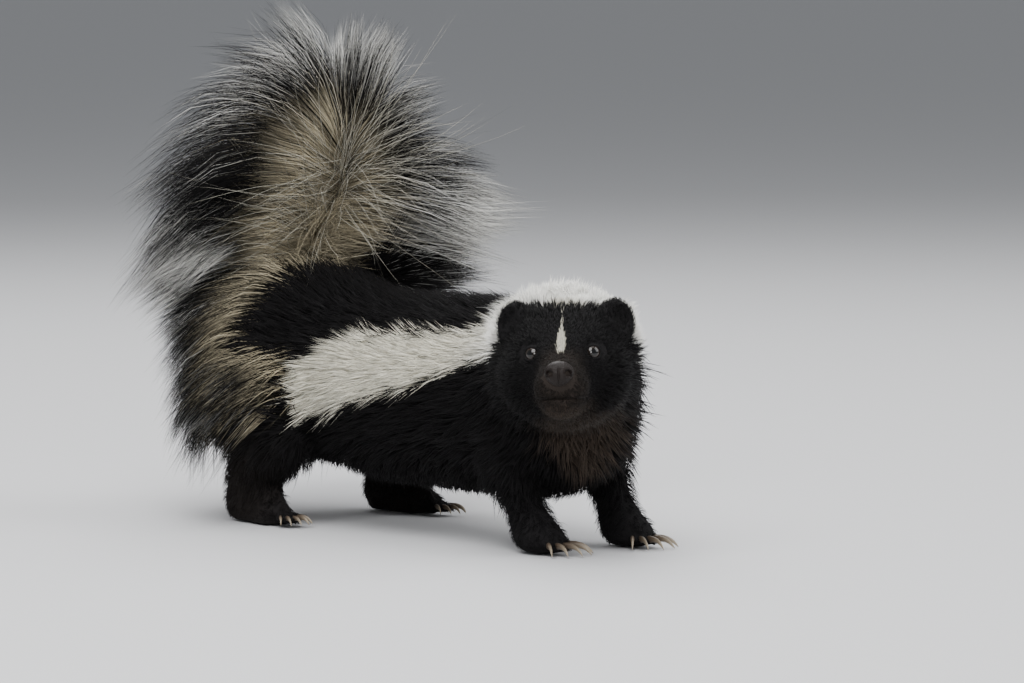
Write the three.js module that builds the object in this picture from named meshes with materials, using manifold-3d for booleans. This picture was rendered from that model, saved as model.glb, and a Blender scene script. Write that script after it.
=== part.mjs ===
// A striped skunk at life size, in millimetres: it stands alert with its tail raised and spread.
// It faces -Y with +Z up, stands on z = 0, and turns its head to its right, towards -X.
// Soft masses with named sizes make one smooth body. Rays from a line inside it find its surface,
// thin cuts part it into nodes, and long tapered locks cover the tail.
import * as THREE from "three";
import { mergeVertices } from "three/addons/utils/BufferGeometryUtils.js";
import Module from "manifold-3d";

const wasm = await Module();
wasm.setup();

// Driving sizes
const GAP = 0.3; // between nodes that meet
const EYE_HEIGHT = 115;
const EYE_SPACING = 30.5; // between the eyeballs' centres
const EYE_RADIUS = 4.8;
const EYE_DEPTH = 5; // of the eyeball's centre behind the face
const HEAD_TURN = THREE.MathUtils.degToRad(42.5);
const HEAD_PITCH = THREE.MathUtils.degToRad(8);
const HEAD_ROLL = THREE.MathUtils.degToRad(2);
const SHOULDER_SPREAD = 31; // from the middle to each forefoot
const HIP_SPREAD = 50; // from the middle to each hind foot
const SIDE_LOCKS = 98; // of the tail
const FRONT_LOCKS = 16;

const BODY_SIDES = 26;
const HEAD_SIDES = 32;
const LIMB_SIDES = 14;
const UP = new THREE.Vector3(0, 0, 1);

const vec = (x, y, z) => new THREE.Vector3(x, y, z);

// Solids

// A mesh's geometry as a solid that can be joined and cut.
function solidOf(geometry) {
  const bare = new THREE.BufferGeometry();
  bare.setAttribute("position", geometry.getAttribute("position"));
  bare.setIndex(geometry.index);
  const merged = mergeVertices(bare, 1e-4);
  return new wasm.Manifold(
    new wasm.Mesh({
      numProp: 3,
      vertProperties: merged.attributes.position.array,
      triVerts: new Uint32Array(merged.index.array),
    }),
  );
}

// A solid's surface as a mesh's geometry.
function geometryOf(solid) {
  const { vertProperties, triVerts } = solid.getMesh();
  const geometry = new THREE.BufferGeometry();
  geometry.setAttribute("position", new THREE.BufferAttribute(vertProperties, 3));
  geometry.setIndex(new THREE.BufferAttribute(triVerts, 1));
  geometry.computeVertexNormals();
  return geometry;
}

// The largest closed body of a solid, so that loose scraps and sealed hollows go.
function largestOf(solid) {
  return solid.decompose().reduce((best, body) => (body.volume() > best.volume() ? body : best));
}

const joined = (solids) => wasm.Manifold.union(solids);

// A closed surface through rings of points that turn anticlockwise as seen from the last one.
function loft(rings, first, last) {
  const sides = rings[0].length;
  const points = [first, ...rings.flat(), last];
  const at = (ring, side) => 1 + ring * sides + (side % sides);
  const faces = [];
  for (let side = 0; side < sides; side++) {
    faces.push(0, at(0, side + 1), at(0, side));
    for (let ring = 0; ring + 1 < rings.length; ring++) {
      faces.push(at(ring, side), at(ring, side + 1), at(ring + 1, side + 1));
      faces.push(at(ring, side), at(ring + 1, side + 1), at(ring + 1, side));
    }
    faces.push(points.length - 1, at(rings.length - 1, side), at(rings.length - 1, side + 1));
  }
  const geometry = new THREE.BufferGeometry().setFromPoints(points);
  geometry.setIndex(faces);
  return solidOf(geometry);
}

// An ellipsoid turned by a rotation matrix, as a solid.
function ovalSolid(centre, radii, turn, across = 12, along = 8) {
  const geometry = new THREE.SphereGeometry(1, across, along);
  geometry.scale(radii.x, radii.y, radii.z);
  geometry.applyMatrix4(turn);
  geometry.translate(centre.x, centre.y, centre.z);
  return solidOf(geometry);
}

// Soft masses: each returns how far a point is outside it

const NO_TURN = new THREE.Matrix4();

function oval(centre, radii, turn = NO_TURN) {
  const back = turn.clone().invert();
  const p = vec();
  return (point) => {
    p.copy(point).sub(centre).applyMatrix4(back);
    const near = Math.hypot(p.x / radii.x, p.y / radii.y, p.z / radii.z);
    const slope = Math.hypot(p.x / radii.x ** 2, p.y / radii.y ** 2, p.z / radii.z ** 2);
    return slope > 1e-9 ? (near * (near - 1)) / slope : -Math.min(radii.x, radii.y, radii.z);
  };
}

function limb(from, to, fromRadius, toRadius) {
  const span = to.clone().sub(from);
  const p = vec();
  return (point) => {
    const share = THREE.MathUtils.clamp(p.copy(point).sub(from).dot(span) / span.lengthSq(), 0, 1);
    p.copy(from).addScaledVector(span, share).sub(point);
    return p.length() - THREE.MathUtils.lerp(fromRadius, toRadius, share);
  };
}

// Several masses that melt into each other over a blend distance.
function melted(masses, blend) {
  return (point) =>
    masses
      .map((mass) => mass(point))
      .reduce((a, b) => {
        const mix = Math.max(blend - Math.abs(a - b), 0) / blend;
        return Math.min(a, b) - (mix * mix * blend) / 4;
      });
}

// Rays that find a body's surface

// A station is a place inside the body with three axes: forward, top and side.
function stationAt(centre, forward, up = UP) {
  const side = vec().crossVectors(forward, up).normalize();
  const top = vec().crossVectors(side, forward).normalize();
  return { centre, forward: forward.clone().normalize(), top, side };
}

function curveStation(curve, share, up = UP) {
  return stationAt(curve.getPointAt(share), curve.getTangentAt(share), up);
}

// The axes of something that looks along a direction: ahead, to its own left, and up.
function looking(direction, up) {
  const { forward, side, top } = stationAt(vec(), direction, up);
  return new THREE.Matrix4().makeBasis(forward, side.negate(), top);
}

function shifted(station, distance) {
  return { ...station, centre: station.centre.clone().addScaledVector(station.forward, distance) };
}

// The point where a ray from inside leaves the body, or passes the level outside it.
function surfacePoint(body, from, direction, level) {
  const point = from.clone();
  for (let step = 0; step < 90; step++) {
    const left = level - body(point);
    point.addScaledVector(direction, left * 0.8);
    if (Math.abs(left) < 0.01) break;
  }
  return point;
}

// A ring of surface points round a station. The rays lean off forward: 90 degrees gives a flat ring.
function ringAt(body, station, sides, level, lean = 90) {
  const tilt = THREE.MathUtils.degToRad(lean);
  const [along, out] = [Math.cos(tilt), Math.sin(tilt)];
  return Array.from({ length: sides }, (_, i) => {
    const angle = (2 * Math.PI * i) / sides;
    const ray = vec()
      .addScaledVector(station.forward, along)
      .addScaledVector(station.top, out * Math.cos(angle))
      .addScaledVector(station.side, out * Math.sin(angle));
    return surfacePoint(body, station.centre, ray.normalize(), level);
  });
}

const ROUND_END = [18, 40, 66]; // lean of the rings that round off an end

// A body wrapped from its stations. An end is flat, or rounded by rings that lean out past it.
function wrapped(body, stations, sides, { roundStart = false, roundEnd = false, level = 0 } = {}) {
  const [first, last] = [stations[0], stations[stations.length - 1]];
  const rings = stations.map((station) => ringAt(body, station, sides, level));
  let [start, end] = [first.centre, last.centre];
  if (roundStart) {
    rings.unshift(...ROUND_END.map((lean) => ringAt(body, first, sides, level, 180 - lean)));
    start = surfacePoint(body, first.centre, first.forward.clone().negate(), level);
  }
  if (roundEnd) {
    rings.push(...ROUND_END.map((lean) => ringAt(body, last, sides, level, lean)).reverse());
    end = surfacePoint(body, last.centre, last.forward, level);
  }
  return loft(rings, start, end);
}

// The head's own axes, about the middle of the eyes

const EYES_MIDDLE = vec(-61, -160, EYE_HEIGHT);
const FACING = vec(
  -Math.sin(HEAD_TURN) * Math.cos(HEAD_PITCH),
  -Math.cos(HEAD_TURN) * Math.cos(HEAD_PITCH),
  Math.sin(HEAD_PITCH),
);
const HEAD_LEFT = vec().crossVectors(UP, FACING).normalize().applyAxisAngle(FACING, HEAD_ROLL);
const HEAD_TOP = vec().crossVectors(FACING, HEAD_LEFT);
const HEAD_AXES = new THREE.Matrix4().makeBasis(FACING, HEAD_LEFT, HEAD_TOP);

// A point from its distances ahead of the eyes, to the animal's left and above.
function onHead(ahead, left, above) {
  return vec(ahead, left, above).applyMatrix4(HEAD_AXES).add(EYES_MIDDLE);
}

const headOval = (ahead, left, above, long, wide, high) =>
  oval(onHead(ahead, left, above), vec(long, wide, high), HEAD_AXES);

const bothSides = (make) => [make(1), make(-1)];

const headMasses = [
  headOval(-30, 0, 0, 30, 31, 24), // braincase
  ...bothSides((side) => headOval(-20, 15 * side, -13, 22, 18, 18)), // cheeks
  headOval(-9, 0, 1, 17, 18, 12.5), // brow
  limb(onHead(-6, 0, -5), onHead(19, 0, -14), 13, 9.5), // bridge of the snout
  ...bothSides((side) => headOval(13, 6.5 * side, -19.5, 13, 9, 7.5)), // upper lips
  headOval(8, 0, -29, 16, 10.5, 7.5), // chin
  headOval(-16, 0, -27, 21, 19, 12), // root of the jaw
];

// The spine runs from the rump to the snout, and the body's masses lie along it

const spine = new THREE.CatmullRomCurve3([
  vec(0, 158, 104),
  vec(0, 110, 104),
  vec(0, 20, 98),
  vec(0, -66, 95),
  vec(-9, -98, 99),
  vec(-25, -122, 104),
  onHead(-34, 0, -5),
  onHead(-10, 0, -9),
  onHead(12, 0, -16),
]);

const bodyMasses = [
  oval(vec(0, 138, 92), vec(63, 66, 57)), // rump
  oval(vec(2, 176, 116), vec(28, 26, 26)), // root of the tail
  oval(vec(0, 56, 82), vec(58, 84, 56)), // loin and belly
  oval(vec(0, -20, 83), vec(52, 78, 57)), // ribs
  oval(vec(0, -74, 82), vec(45, 44, 54)), // chest
  oval(vec(-8, -104, 84), vec(38, 32, 44)), // throat
  limb(vec(-8, -96, 102), vec(-32, -126, 110), 38, 36), // neck
];
const ruff = headOval(-50, 0, 6, 23, 39.5, 36);

const headBody = melted([...headMasses, ruff], 8);
const torsoAndHead = melted([melted(bodyMasses, 24), headBody], 14);

const SHOULDER_CUT = 0.66; // shares of the spine where the torso and the neck end
const NAPE_CUT = 0.8;

const spread = (from, to, count) =>
  Array.from({ length: count }, (_, i) => THREE.MathUtils.lerp(from, to, i / (count - 1)));

function torsoSolid(level) {
  const stations = spread(0, SHOULDER_CUT, 15).map((share) => curveStation(spine, share));
  return wrapped(torsoAndHead, stations, BODY_SIDES, { roundStart: true, level });
}

function neckSolid(level) {
  const shares = spread(SHOULDER_CUT, NAPE_CUT, 7);
  const stations = shares.map((share) => curveStation(spine, share));
  stations[0] = shifted(stations[0], GAP - level);
  return wrapped(torsoAndHead, stations, BODY_SIDES, { level });
}

function headSolid(level) {
  const stations = spread(NAPE_CUT, 1, 15).map((share) => curveStation(spine, share));
  stations[0] = shifted(stations[0], GAP);
  return wrapped(torsoAndHead, stations, HEAD_SIDES, { roundEnd: true, level });
}

// Eyes, with lids raised round each and a socket that keeps the gap

function eyeCentre(side) {
  return onHead(-EYE_DEPTH, (EYE_SPACING / 2) * side, 0);
}

// How an eye looks out: ahead, a little to its own side and up.
function gaze(side) {
  return vec(0.86, 0.5 * side, 0.05).normalize().transformDirection(HEAD_AXES);
}

const LID_THICK = 1.3;
const LID_OPENING = vec(5, 4.1, 3.3); // deep, wide, high

const gazeAxes = (side) => looking(gaze(side), HEAD_TOP);

function eyeBall(side, extra = 0) {
  const radius = EYE_RADIUS + extra;
  return ovalSolid(eyeCentre(side), vec(radius, radius, radius), gazeAxes(side), 12, 8);
}

function lidOpening(side) {
  const centre = eyeCentre(side).addScaledVector(gaze(side), LID_OPENING.x);
  return ovalSolid(centre, LID_OPENING, gazeAxes(side), 12, 8);
}

// The nose pad, with a nostril and its side slit on each side

const NOSE = onHead(27.5, 0, -13);
const NOSE_SIZE = vec(5.5, 8.4, 7.2);

const nosePad = (extra) =>
  ovalSolid(NOSE, NOSE_SIZE.clone().addScalar(extra), HEAD_AXES, 14, 8);

function noseSolid() {
  const holes = bothSides((side) => [
    ovalSolid(onHead(31.4, 5.2 * side, -12.8), vec(3.4, 2.2, 1.8), HEAD_AXES, 8, 6),
    ovalSolid(onHead(29.6, 7.4 * side, -14.2), vec(3.2, 2, 0.8), HEAD_AXES, 6, 4),
  ]).flat();
  return nosePad(0).subtract(joined(holes));
}

// The mouth is a thin slit that follows the lips from the front back to each corner.
const MOUTH_LINE = [
  [40, -26.4],
  [20, -25.6],
  [8, -25],
  [1, -27],
]; // ahead of the eyes, and above them
const MOUTH_GAPE = 0.9;

function mouthSlit() {
  const edge = (lift) => MOUTH_LINE.map(([ahead, above]) => new THREE.Vector2(ahead, above + lift));
  const shape = new THREE.Shape([...edge(-MOUTH_GAPE / 2), ...edge(MOUTH_GAPE / 2).reverse()]);
  const geometry = new THREE.ExtrudeGeometry(shape, { depth: 40, bevelEnabled: false });
  geometry.translate(0, 0, -20);
  geometry.rotateX(Math.PI / 2);
  geometry.applyMatrix4(HEAD_AXES);
  geometry.translate(EYES_MIDDLE.x, EYES_MIDDLE.y, EYES_MIDDLE.z);
  return solidOf(geometry);
}

function finishedHead() {
  const lids = bothSides((side) => eyeBall(side, LID_THICK));
  const cuts = bothSides((side) => [eyeBall(side, GAP), lidOpening(side)]).flat();
  return joined([headSolid(0), ...lids]).subtract(joined([...cuts, nosePad(GAP), mouthSlit()]));
}

// Ears: round cups that face forward and outward

const EAR_SIZE = vec(7, 12.5, 14.5); // thick, wide, high
const EAR_RIM = 3;

function earSolid(side, clear) {
  const centre = onHead(-31, 27 * side, 17.5);
  const facing = vec(0.8, 0.6 * side, 0.05).normalize().transformDirection(HEAD_AXES);
  const leaning = vec(-0.1, 0.2 * side, 1).transformDirection(HEAD_AXES);
  const axes = looking(facing, leaning);
  const cup = ovalSolid(
    centre.clone().addScaledVector(facing, EAR_SIZE.x - EAR_RIM / 2),
    EAR_SIZE.clone().subScalar(EAR_RIM),
    axes,
    12,
    8,
  );
  return ovalSolid(centre, EAR_SIZE, axes, 14, 8).subtract(joined([cup, clear]));
}

// Legs and feet

// Toes fan out from the front of the sole, each with a curved claw.
function toesAndClaws({ middle, reach, fan, toe, claw, heading }) {
  return spread(-1, 1, 5).flatMap((place) => {
    const angle = heading + place * fan;
    const ahead = vec(Math.sin(angle), -Math.cos(angle), 0);
    const length = reach * (1 - 0.16 * place * place);
    const tip = middle.clone().addScaledVector(ahead, length);
    const turn = new THREE.Matrix4().makeRotationZ(angle);
    return [
      ovalSolid(tip.clone().addScaledVector(ahead, -toe.y), toe, turn, 6, 5),
      clawSolid(tip.clone().addScaledVector(ahead, -1.5).add(vec(0, 0, 0.5)), ahead, claw),
    ];
  });
}

// A claw curves down from its root and narrows to a point.
function clawSolid(root, ahead, { length, thick, drop }) {
  const line = new THREE.QuadraticBezierCurve3(
    root.clone().addScaledVector(ahead, -2),
    root.clone().addScaledVector(ahead, length * 0.6).add(vec(0, 0, thick * 0.6)),
    root.clone().addScaledVector(ahead, length).add(vec(0, 0, -drop)),
  );
  const rings = [0, 0.35, 0.7].map((share) => {
    const { centre, top, side } = stationAt(line.getPoint(share), line.getTangent(share));
    const radius = (thick / 2) * (1 - 0.75 * share);
    return Array.from({ length: 4 }, (_, i) => {
      const angle = (Math.PI * i) / 2;
      return centre
        .clone()
        .addScaledVector(top, radius * 1.25 * Math.cos(angle))
        .addScaledVector(side, radius * 0.8 * Math.sin(angle));
    });
  });
  return loft(rings, line.getPoint(0), line.getPoint(1));
}

const FORE_TOES = {
  reach: 20,
  fan: 0.6,
  toe: vec(4, 8, 4.6),
  claw: { length: 12, thick: 3.4, drop: 4.4 },
};
const HIND_TOES = {
  reach: 20,
  fan: 0.48,
  toe: vec(3.9, 8, 4.4),
  claw: { length: 7, thick: 2.8, drop: 3.4 },
};

// Heights where the foot parts from the leg
const WRIST = 22;
const HOCK = 24;

function foreLimb(side) {
  const foot = vec(SHOULDER_SPREAD * side, -106, 0);
  const masses = [
    oval(vec(29 * side, -84, 80), vec(20, 27, 36)), // shoulder
    limb(vec(31 * side, -78, 66), vec(33 * side, -78, 48), 19, 17), // upper arm
    limb(vec(33 * side, -78, 48), foot.clone().add(vec(0, 12, 18)), 16, 11.5), // forearm
    oval(foot.clone().add(vec(0, 7, 12)), vec(12.5, 16, 11)), // wrist
    oval(foot.clone().add(vec(0, -2, 7)), vec(14, 15, 8)), // sole
  ];
  const line = new THREE.LineCurve3(vec(29 * side, -82, 84), foot.clone().add(vec(0, 4, 9)));
  const stations = spread(0, 1, 9).map((share) => curveStation(line, share, vec(0, -1, 0)));
  const leg = wrapped(melted(masses, 9), stations, LIMB_SIDES, { roundStart: true, roundEnd: true });
  const middle = foot.clone().add(vec(0, -1, 5));
  return joined([leg, ...toesAndClaws({ ...FORE_TOES, middle, heading: -0.08 * side })]);
}

function hindMasses(side) {
  const heel = vec(HIP_SPREAD * side, 152, 0);
  return [
    oval(vec(45 * side, 132, 74), vec(30, 50, 48)), // thigh
    limb(vec(50 * side, 112, 54), vec(51 * side, 138, 30), 24, 17), // shin
    oval(heel.clone().add(vec(0, -4, 15)), vec(13, 16, 15)), // hock
    limb(heel.clone().add(vec(0, -6, 8)), vec(54 * side, 110, 7), 11, 12), // sole
  ];
}

function wrappedThigh(side, level) {
  const line = new THREE.LineCurve3(vec(44 * side, 132, 78), vec(52 * side, 134, 10));
  const stations = spread(0, 1, 11).map((share) => curveStation(line, share, vec(0, -1, 0)));
  const body = melted(hindMasses(side), 9);
  return wrapped(body, stations, LIMB_SIDES, { roundStart: true, roundEnd: true, level });
}

function hindLimb(side) {
  const toes = toesAndClaws({ ...HIND_TOES, middle: vec(54 * side, 109, 5), heading: 0.12 * side });
  return joined([wrappedThigh(side, 0), ...toes]);
}

const WIDE = 600;
const FLOOR = solidOf(new THREE.BoxGeometry(WIDE, WIDE, 40).translate(0, 0, -20));

// A limb cut clear of the body and the floor, and parted from its foot at a height.
function partedLimb(limb, body, height) {
  const block = (z) => solidOf(new THREE.BoxGeometry(WIDE, WIDE, WIDE).translate(0, 0, z));
  const [above, below] = [block(height + (WIDE - GAP) / 2), block(height - (WIDE - GAP) / 2)];
  const clear = limb.subtract(joined([body, FLOOR]));
  return { leg: clear.subtract(below), foot: clear.subtract(above) };
}

// Tail: a core of flesh and dense underfur, and long locks that spread out and up from it

const tailLine = new THREE.CatmullRomCurve3([
  vec(2, 174, 112),
  vec(9, 185, 136),
  vec(18, 172, 162),
  vec(23, 157, 188),
  vec(22, 147, 212),
]);
const CORE_RADIUS = 27;

function tailCore() {
  const stations = spread(0, 1, 8).map((share) => curveStation(tailLine, share, vec(1, 0, 0)));
  const core = melted(
    spread(0, 1, 7).map((share) => {
      const radius = CORE_RADIUS * (1 - 0.45 * share * share);
      return oval(tailLine.getPointAt(share), vec(radius, radius, radius));
    }),
    10,
  );
  return wrapped(core, stations, 12, { roundStart: true, roundEnd: true });
}

// Seeded random numbers from 0 to 1, so that each build is alike.
function seeded(seed) {
  let state = seed;
  return () => {
    state = (state + 0x6d2b79f5) | 0;
    let mixed = Math.imul(state ^ (state >>> 15), 1 | state);
    mixed = (mixed + Math.imul(mixed ^ (mixed >>> 7), 61 | mixed)) ^ mixed;
    return ((mixed ^ (mixed >>> 14)) >>> 0) / 4294967296;
  };
}

const clearOf = melted([torsoAndHead, ...bothSides((side) => melted(hindMasses(side), 9))], 4);
const CLEARANCE = 3;

// A point moved out of the body, so that a lock lies over it.
function cleared(point) {
  for (let step = 0; step < 6; step++) {
    const depth = CLEARANCE - clearOf(point);
    if (depth <= 0) break;
    const slope = [vec(1, 0, 0), vec(0, 1, 0), vec(0, 0, 1)].map(
      (axis) => clearOf(point.clone().add(axis)) - clearOf(point.clone().sub(axis)),
    );
    point.addScaledVector(vec(...slope).normalize(), depth);
  }
  return point;
}

const LOCK_RINGS = [0, 0.3, 0.58, 0.84]; // shares of the length
const LOCK_WIDTHS = [0.4, 0.95, 0.95, 0.5]; // shares of the width at those rings
const LOCK_WIDTH = 22;
const LOCK_THICK = 4;
const LOCK_TURN = 2.39996; // radians round the tail from each lock to the next

// A flat, tapered lock of hair. It leaves its root, bows outward and sags to its tip.
function lockSolid({ root, heading, bow, sag, length, across }) {
  const pointAt = (share) =>
    root
      .clone()
      .addScaledVector(heading, share * length)
      .addScaledVector(bow, share * (1 - share) * length)
      .add(vec(0, 0, -sag * share * share * length));
  const rings = LOCK_RINGS.map((share, i) => {
    const centre = share > 0.2 ? cleared(pointAt(share)) : pointAt(share);
    const along = pointAt(share + 0.05).sub(pointAt(share)).normalize();
    const { top, side } = stationAt(centre, along, vec().crossVectors(across, along));
    const wide = (LOCK_WIDTH / 2) * LOCK_WIDTHS[i];
    const thick = (LOCK_THICK / 2) * (1 - 0.7 * share);
    return [
      centre.clone().addScaledVector(top, thick),
      centre.clone().addScaledVector(side, wide).addScaledVector(top, -thick / 2),
      centre.clone().addScaledVector(side, -wide).addScaledVector(top, -thick / 2),
    ];
  });
  return loft(rings, pointAt(0), cleared(pointAt(1)));
}

// The plume is parted down its front, which faces the way the head looks.
const FRONT = vec(-0.62, -0.785, 0);
const ASIDE = vec().crossVectors(UP, FRONT); // to the right as seen from the front
const PARTING = { left: 52, right: 64 }; // degrees between the front and the first locks

// How the hair lies at each share of the tail's length, as it falls to the left and to the right:
// how far it leans from upright in degrees, how far it bows, and its length
const HAIR_AT = [0, 0.2, 0.35, 0.55, 0.68, 0.78, 0.85, 0.91, 0.96, 1];
const HAIR_LEAN = {
  left: [110, 106, 102, 102, 101, 92, 77, 58, 33, 12],
  right: [78, 80, 84, 84, 85, 83, 75, 58, 36, 10],
};
const HAIR_BOW = {
  left: [0.4, 0.45, 0.5, 0.7, 0.78, 0.8, 0.85, 0.8, 0.5, 0.1],
  right: [0.1, 0, -0.1, -0.2, 0.15, 0.3, 0.45, 0.5, 0.3, 0.1],
};
const HAIR_LENGTH = {
  left: [78, 88, 98, 118, 130, 132, 130, 124, 112, 94],
  right: [84, 92, 106, 130, 106, 92, 92, 94, 98, 94],
};

function valueAt(row, share) {
  const next = Math.max(HAIR_AT.findIndex((at) => at >= share), 1);
  const [from, to] = [HAIR_AT[next - 1], HAIR_AT[next]];
  return THREE.MathUtils.mapLinear(share, from, to, row[next - 1], row[next]);
}

function forSide(rows, share, aside) {
  const part = THREE.MathUtils.smoothstep(aside, -0.7, 0.7);
  return THREE.MathUtils.lerp(valueAt(rows.left, share), valueAt(rows.right, share), part);
}

// A lock rooted at a share of the tail, which leaves it at an angle round it from the front.
function lockAt(share, angle, { lean, bow, sag, length, twist }) {
  const away = vec().addScaledVector(FRONT, Math.cos(angle)).addScaledVector(ASIDE, Math.sin(angle));
  const tilt = THREE.MathUtils.degToRad(lean);
  const heading = vec().addScaledVector(UP, Math.cos(tilt)).addScaledVector(away, Math.sin(tilt));
  const outward = vec().addScaledVector(UP, Math.sin(tilt)).addScaledVector(away, -Math.cos(tilt));
  return lockSolid({
    root: tailLine.getPointAt(share).addScaledVector(away, CORE_RADIUS * 0.35),
    heading,
    bow: outward.multiplyScalar(bow),
    sag: sag * Math.sin(tilt),
    length,
    across: vec().crossVectors(UP, away).applyAxisAngle(heading, twist),
  });
}

function sideLocks(random) {
  const { degToRad } = THREE.MathUtils;
  return Array.from({ length: SIDE_LOCKS }, (_, i) => {
    const share = ((i + 0.5) / SIDE_LOCKS) ** 0.75;
    const turn = (i * LOCK_TURN + random() * 0.5) % (2 * Math.PI);
    const angle = turn > Math.PI ? turn - 2 * Math.PI : turn;
    const parting = degToRad(angle > 0 ? PARTING.right : PARTING.left) * (1 - 0.3 * share);
    const parted = Math.sign(angle) * (parting + (Math.PI - parting) * Math.abs(angle / Math.PI));
    const aside = Math.sin(parted);
    return lockAt(share, parted, {
      lean: forSide(HAIR_LEAN, share, aside) + 14 * (random() - 0.5),
      bow: forSide(HAIR_BOW, share, aside) + 0.2 * (random() - 0.5),
      sag: 0.03 + 0.08 * random(),
      length: forSide(HAIR_LENGTH, share, aside) * (0.92 + 0.18 * random()),
      twist: Math.PI * random(),
    });
  });
}

// Short locks that lie up the front and turn to either side of the parting.
function frontLocks(random) {
  return Array.from({ length: FRONT_LOCKS }, (_, i) => {
    const share = (i + 0.5) / FRONT_LOCKS;
    return lockAt(share, (i % 2 ? 1 : -1) * (0.35 + 0.5 * random()), {
      lean: 58 - 36 * share,
      bow: 0.1,
      sag: 0,
      length: 66 + 14 * random(),
      twist: 0.6 * (random() - 0.5),
    });
  });
}

// Meshes

const MATERIALS = {
  black_coat: new THREE.MeshStandardMaterial({ color: 0x17161a, roughness: 0.7, metalness: 0 }),
  tail_coat: new THREE.MeshStandardMaterial({ color: 0x8a8373, roughness: 0.75, metalness: 0 }),
  nose_skin: new THREE.MeshStandardMaterial({ color: 0x3a3030, roughness: 0.45, metalness: 0 }),
  eye: new THREE.MeshStandardMaterial({ color: 0x0b0908, roughness: 0.08, metalness: 0 }),
};

const skunk = new THREE.Group();

function addNode(name, solid, material) {
  const mesh = new THREE.Mesh(geometryOf(largestOf(solid)), MATERIALS[material]);
  mesh.name = name;
  skunk.add(mesh);
}

const bodyClear = joined([torsoSolid(GAP), neckSolid(GAP)]);
const headClear = headSolid(GAP);
const hindLegs = [];
addNode("torso", torsoSolid(0), "black_coat");
addNode("neck", neckSolid(0), "black_coat");
addNode("head", finishedHead(), "black_coat");
addNode("nose", noseSolid(), "nose_skin");
for (const [name, side] of [
  ["left", 1],
  ["right", -1],
]) {
  addNode(`eye_${name}`, eyeBall(side), "eye");
  addNode(`ear_${name}`, earSolid(side, joined([headClear, bodyClear])), "black_coat");
  const fore = partedLimb(foreLimb(side), bodyClear, WRIST);
  addNode(`foreleg_${name}`, fore.leg, "black_coat");
  addNode(`forefoot_${name}`, fore.foot, "black_coat");
  const hind = partedLimb(hindLimb(side), bodyClear, HOCK);
  addNode(`hindleg_${name}`, hind.leg, "black_coat");
  addNode(`hindfoot_${name}`, hind.foot, "black_coat");
  hindLegs.push(wrappedThigh(side, GAP));
}
const random = seeded(11);
const tailWithLocks = joined([tailCore(), ...sideLocks(random), ...frontLocks(random)]);
addNode("tail", tailWithLocks.subtract(joined([bodyClear, ...hindLegs])), "tail_coat");

// The origin is the middle of the whole outline, on the floor.
const outline = new THREE.Box3().setFromObject(skunk, true);
const middle = outline.getCenter(vec());
skunk.position.set(-middle.x, -middle.y, -outline.min.z);

export default skunk;
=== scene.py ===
import math

import bmesh
import bpy
import numpy as np
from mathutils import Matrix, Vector
from mathutils.kdtree import KDTree


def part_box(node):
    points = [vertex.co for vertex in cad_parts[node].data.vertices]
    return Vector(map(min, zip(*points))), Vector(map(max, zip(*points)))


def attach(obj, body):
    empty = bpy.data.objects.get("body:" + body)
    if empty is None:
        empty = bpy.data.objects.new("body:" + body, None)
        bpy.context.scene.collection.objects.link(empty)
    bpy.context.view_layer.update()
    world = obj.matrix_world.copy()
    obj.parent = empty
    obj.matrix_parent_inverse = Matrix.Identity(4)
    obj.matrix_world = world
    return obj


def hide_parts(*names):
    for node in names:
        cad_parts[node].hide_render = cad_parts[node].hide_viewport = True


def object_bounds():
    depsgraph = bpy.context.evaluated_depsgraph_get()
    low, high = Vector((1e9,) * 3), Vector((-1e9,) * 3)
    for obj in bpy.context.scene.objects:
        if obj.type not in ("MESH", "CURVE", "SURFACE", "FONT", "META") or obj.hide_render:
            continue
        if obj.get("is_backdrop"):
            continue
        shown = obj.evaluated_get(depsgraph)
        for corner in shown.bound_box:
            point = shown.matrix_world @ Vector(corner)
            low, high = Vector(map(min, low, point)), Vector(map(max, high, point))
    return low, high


# A life-size striped skunk that stands alert, its head turned to its right and its tail raised
# and spread. Shapes are worked out in millimetres in the animal's own frame: it faces -Y, its left
# side is towards +X, and the floor is z = 0.

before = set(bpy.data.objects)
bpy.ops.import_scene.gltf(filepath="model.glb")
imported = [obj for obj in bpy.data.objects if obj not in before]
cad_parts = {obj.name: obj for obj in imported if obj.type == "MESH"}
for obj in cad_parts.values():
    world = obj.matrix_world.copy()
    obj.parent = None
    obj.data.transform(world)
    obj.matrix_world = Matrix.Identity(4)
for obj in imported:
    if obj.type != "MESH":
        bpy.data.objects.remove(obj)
cad_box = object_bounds()
rng = np.random.default_rng(23)

MM = 0.001
UP = np.array([0.0, 0.0, 1.0])
SIDES = {"left": 1, "right": -1}


def size_of(v):
    return np.linalg.norm(v, axis=-1)


def unit(v):
    return v / np.maximum(size_of(v)[..., None], 1e-9)


def linked(name, data):
    """A new object in the scene."""
    obj = bpy.data.objects.new(name, data)
    bpy.context.scene.collection.objects.link(obj)
    return obj


def ramp(low, high, x):
    """From 0 at low to 1 at high, with a soft start and end."""
    t = np.clip((x - low) / (high - low), 0, 1)
    return t * t * (3 - 2 * t)


def blend(a, b, share):
    share = np.asarray(share)[..., None]
    return np.asarray(a) * (1 - share) + np.asarray(b) * share


def across(v, normal):
    """The part of v that lies along the surface."""
    return unit(v - np.sum(v * normal, axis=-1, keepdims=True) * normal)


def towards(turn, rise):
    """The way that is turned from -Y towards +X, and raised, in radians."""
    return np.array([math.sin(turn) * math.cos(rise), -math.cos(turn) * math.cos(rise), math.sin(rise)])


# The head's own axes, about the middle of the eyes

HEAD_TURN = math.radians(42.5)
HEAD_PITCH = math.radians(8)
HEAD_ROLL = math.radians(2)
EYES_MIDDLE = np.array([-61.0, -160.0, 115.0])
EYE_SPACING = 30.5
EYE_RADIUS = 4.8
EYE_DEPTH = 5

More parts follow.
